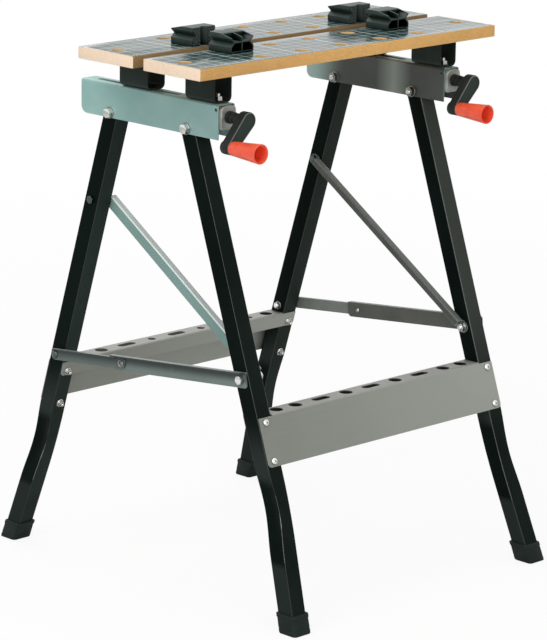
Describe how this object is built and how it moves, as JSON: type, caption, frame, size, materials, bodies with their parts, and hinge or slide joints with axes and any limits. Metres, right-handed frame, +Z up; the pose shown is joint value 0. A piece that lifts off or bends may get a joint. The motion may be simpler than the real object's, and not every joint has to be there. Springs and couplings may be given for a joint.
{
  "type": "folding workbench",
  "caption": "Folding workbench: two drilled jaw planks closed by crank screws on slotted rails, with swivel dogs, tool trays and legs that fold with braces and jointed links.",
  "frame": {"origin": "on the floor, in the middle of the footprint of the four feet", "axes": "+Z up, +X along the planks to the right of the user, -Y towards the user who turns the cranks"},
  "size_m": [0.605, 0.6414, 0.8173],
  "materials": {
    "plank": "printed board, matt",
    "rail": "satin silver-green paint",
    "bracket": "satin black paint",
    "leg": "glossy black paint",
    "foot": "moulded, matt",
    "tray": "satin warm grey paint",
    "link": "satin grey-green paint",
    "grip": "moulded, satin",
    "crank": "moulded, stippled",
    "dog": "moulded, matt",
    "zinc": "bright zinc plate"
  },
  "bodies": {
    "front_frame": {"front_leg_right": "leg", "front_leg_left": "leg", "front_foot_right": "foot", "front_foot_left": "foot", "front_tray": "tray", "link_bolt_right": "zinc", "link_bolt_left": "zinc"},
    "top": {"front_plank": "plank", "rail_right": "rail", "rail_left": "rail", "front_bracket_right": "bracket", "front_bracket_left": "bracket", "bearing_block_right": "zinc", "bearing_block_left": "zinc", "front_pivot_bolt_right": "zinc", "front_pivot_bolt_left": "zinc", "rear_pivot_bolt_right": "zinc", "rear_pivot_bolt_left": "zinc"},
    "rear_frame": {"rear_leg_right": "leg", "rear_leg_left": "leg", "rear_foot_right": "foot", "rear_foot_left": "foot", "rear_tray": "tray", "brace_bolt_right": "zinc", "brace_bolt_left": "zinc", "short_link_bolt_right": "zinc", "short_link_bolt_left": "zinc"},
    "brace_right": {"brace_right": "link", "brace_nut_right": "zinc"},
    "long_link_right": {"long_link_right": "link"},
    "short_link_right": {"short_link_right": "link", "link_rivet_right": "zinc", "short_link_rivet_right": "zinc"},
    "brace_left": {"brace_left": "link", "brace_nut_left": "zinc"},
    "long_link_left": {"long_link_left": "link"},
    "short_link_left": {"short_link_left": "link", "link_rivet_left": "zinc", "short_link_rivet_left": "zinc"},
    "rear_jaw": {"rear_plank": "plank", "rear_bracket_right": "bracket", "rear_bracket_left": "bracket", "screw_nut_right": "zinc", "screw_nut_left": "zinc"},
    "vise_screw_right": {"screw_right": "zinc", "crank_right": "crank", "grip_pin_right": "zinc"},
    "grip_right": {"grip_right": "grip"},
    "vise_screw_left": {"screw_left": "zinc", "crank_left": "crank", "grip_pin_left": "zinc"},
    "grip_left": {"grip_left": "grip"},
    "front_dog_right": {"front_dog_right": "dog"},
    "front_dog_left": {"front_dog_left": "dog"},
    "rear_dog_right": {"rear_dog_right": "dog"},
    "rear_dog_left": {"rear_dog_left": "dog"}
  },
  "joints": [
    {"name": "fold", "type": "hinge", "parent": "front_frame", "child": "top", "pos_m": [0, -0.0695, 0.688], "axis": [1, 0, 0], "range_deg": [0, 55]},
    {"name": "rear_leg_fold", "type": "hinge", "parent": "top", "child": "rear_frame", "pos_m": [0, 0.0918, 0.688], "axis": [1, 0, 0], "range_deg": [-85.54, 0]},
    {"name": "brace_swing_right", "type": "hinge", "parent": "front_frame", "child": "brace_right", "pos_m": [0.2314, -0.18629, 0.34536], "axis": [1, 0, 0], "range_deg": [0, 29.3]},
    {"name": "long_link_swing_right", "type": "hinge", "parent": "front_frame", "child": "long_link_right", "pos_m": [0.2314, -0.18629, 0.34536], "axis": [1, 0, 0], "range_deg": [0, 72.91]},
    {"name": "short_link_swing_right", "type": "hinge", "parent": "long_link_right", "child": "short_link_right", "pos_m": [0.2314, 0.06348, 0.32056], "axis": [1, 0, 0], "range_deg": [-149.55, 0]},
    {"name": "brace_swing_left", "type": "hinge", "parent": "front_frame", "child": "brace_left", "pos_m": [-0.2314, -0.18629, 0.34536], "axis": [1, 0, 0], "range_deg": [0, 29.3]},
    {"name": "long_link_swing_left", "type": "hinge", "parent": "front_frame", "child": "long_link_left", "pos_m": [-0.2314, -0.18629, 0.34536], "axis": [1, 0, 0], "range_deg": [0, 72.91]},
    {"name": "short_link_swing_left", "type": "hinge", "parent": "long_link_left", "child": "short_link_left", "pos_m": [-0.2314, 0.06348, 0.32056], "axis": [1, 0, 0], "range_deg": [-149.55, 0]},
    {"name": "screw_turn", "type": "hinge", "parent": "top", "child": "vise_screw_right", "pos_m": [0.2314, -0.16, 0.713], "axis": [0, 1, 0], "range_deg": [-1800, 7200]},
    {"name": "screw_turn_left", "type": "hinge", "parent": "top", "child": "vise_screw_left", "pos_m": [-0.2314, -0.16, 0.713], "axis": [0, 1, 0], "range_deg": [-1800.1, 7200.1]},
    {"name": "jaw_slide", "type": "slide", "parent": "top", "child": "rear_jaw", "axis": [0, 1, 0], "range_m": [-0.02001, 0.08001]},
    {"name": "grip_spin_right", "type": "hinge", "parent": "vise_screw_right", "child": "grip_right", "pos_m": [0.19935, -0.2, 0.67863], "axis": [0, 1, 0], "continuous": true},
    {"name": "grip_spin_left", "type": "hinge", "parent": "vise_screw_left", "child": "grip_left", "pos_m": [-0.26345, -0.2, 0.67863], "axis": [0, 1, 0], "continuous": true},
    {"name": "front_dog_swivel_right", "type": "hinge", "parent": "top", "child": "front_dog_right", "pos_m": [0.16, -0.0653, 0.79], "axis": [0, 0, 1], "continuous": true},
    {"name": "front_dog_swivel_left", "type": "hinge", "parent": "top", "child": "front_dog_left", "pos_m": [-0.16, -0.0653, 0.79], "axis": [0, 0, 1], "continuous": true},
    {"name": "rear_dog_swivel_right", "type": "hinge", "parent": "rear_jaw", "child": "rear_dog_right", "pos_m": [0.16, 0.0073, 0.79], "axis": [0, 0, 1], "continuous": true},
    {"name": "rear_dog_swivel_left", "type": "hinge", "parent": "rear_jaw", "child": "rear_dog_left", "pos_m": [-0.16, 0.0073, 0.79], "axis": [0, 0, 1], "continuous": true}
  ],
  "couplings": [
    {"joint": "rear_leg_fold", "follows": "fold", "ratio": -1.555},
    {"joint": "brace_swing_right", "follows": "fold", "ratio": 0.5326},
    {"joint": "long_link_swing_right", "follows": "fold", "ratio": 1.3255},
    {"joint": "short_link_swing_right", "follows": "fold", "ratio": -2.719},
    {"joint": "brace_swing_left", "follows": "fold", "ratio": 0.5326},
    {"joint": "long_link_swing_left", "follows": "fold", "ratio": 1.3255},
    {"joint": "short_link_swing_left", "follows": "fold", "ratio": -2.719},
    {"joint": "screw_turn_left", "follows": "screw_turn", "ratio": 1},
    {"joint": "jaw_slide", "follows": "screw_turn", "m_per_rad": 0.00063662}
  ]
}
